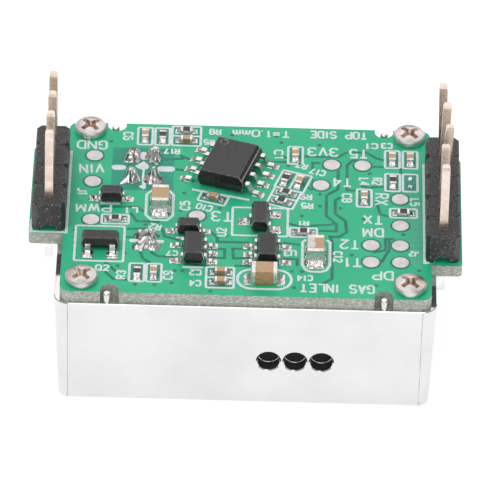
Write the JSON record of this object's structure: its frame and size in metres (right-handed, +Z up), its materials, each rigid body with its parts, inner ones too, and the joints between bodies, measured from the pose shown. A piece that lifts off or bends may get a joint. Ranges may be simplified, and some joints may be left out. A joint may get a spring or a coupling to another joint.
{
  "type": "infrared gas sensor module",
  "caption": "Plated gas sensing box closed by a green circuit board with upright pin header rows on side ears, round gas holes in the front wall.",
  "frame": {"origin": "centre of the sensing box's flat underside", "axes": "+X along the board's long side, towards the five-pin header; +Y towards the back, away from the gas holes; +Z up, along the header pins"},
  "size_m": [0.0335, 0.0218, 0.0192],
  "materials": {
    "plated_box": "bright mirror plating over moulded plastic",
    "board": "green solder mask, beige glass laminate at the cut edges",
    "screw_steel": "bright nickel-plated steel",
    "header_plastic": "black moulded plastic",
    "gold_pins": "thin gold plating",
    "solder": "bright tin solder",
    "tinned_leads": "tin plating",
    "moulding_compound": "dark epoxy, finely textured",
    "capacitor_ceramic": "tan fired ceramic",
    "resistor_ceramic": "white alumina",
    "resistor_film": "black glaze",
    "chip_metal": "tinned end caps",
    "reflector": "gold-tinted mirror plating",
    "filter_cloth": "dark porous membrane",
    "can_metal": "nickel-plated can",
    "infrared_window": "coated filter window",
    "sensor_chip": "polished silicon",
    "lamp_glass": "clear glass",
    "filament_wire": "bare tungsten"
  },
  "bodies": {
    "root": {"amplifier_body": "moulding_compound", "amplifier_leads": "tinned_leads", "board_screws": "screw_steel", "bulk_capacitor_bodies": "capacitor_ceramic", "bulk_capacitor_ends": "chip_metal", "chamber_housing": "plated_box", "chip_resistor_bodies": "resistor_ceramic", "chip_resistor_ends": "chip_metal", "chip_resistor_films": "resistor_film", "chip_solder": "solder", "circuit_board": "board", "detector_base": "can_metal", "detector_cap": "can_metal", "detector_chips": "sensor_chip", "detector_leads": "tinned_leads", "detector_solder": "solder", "detector_windows": "infrared_window", "diode_centre_body": "moulding_compound", "diode_centre_leads": "tinned_leads", "diode_left_body": "moulding_compound", "diode_left_leads": "tinned_leads", "dust_filter": "filter_cloth", "emitter_base": "can_metal", "emitter_bulb": "lamp_glass", "emitter_filament": "filament_wire", "emitter_leads": "tinned_leads", "emitter_solder": "solder", "header_left_housing": "header_plastic", "header_left_pins": "gold_pins", "header_right_housing": "header_plastic", "header_right_pins": "gold_pins", "header_solder": "solder", "lamp_driver_body": "moulding_compound", "lamp_driver_leads": "tinned_leads", "lead_solder": "solder", "light_guide": "reflector", "light_guide_cover": "reflector", "microcontroller_body": "moulding_compound", "microcontroller_leads": "tinned_leads", "regulator_left_body": "moulding_compound", "regulator_left_leads": "tinned_leads", "regulator_right_body": "moulding_compound", "regulator_right_leads": "tinned_leads", "small_capacitor_bodies": "capacitor_ceramic", "small_capacitor_ends": "chip_metal", "test_pads": "solder", "transistor_centre_body": "moulding_compound", "transistor_centre_leads": "tinned_leads"}
  },
  "joints": []
}
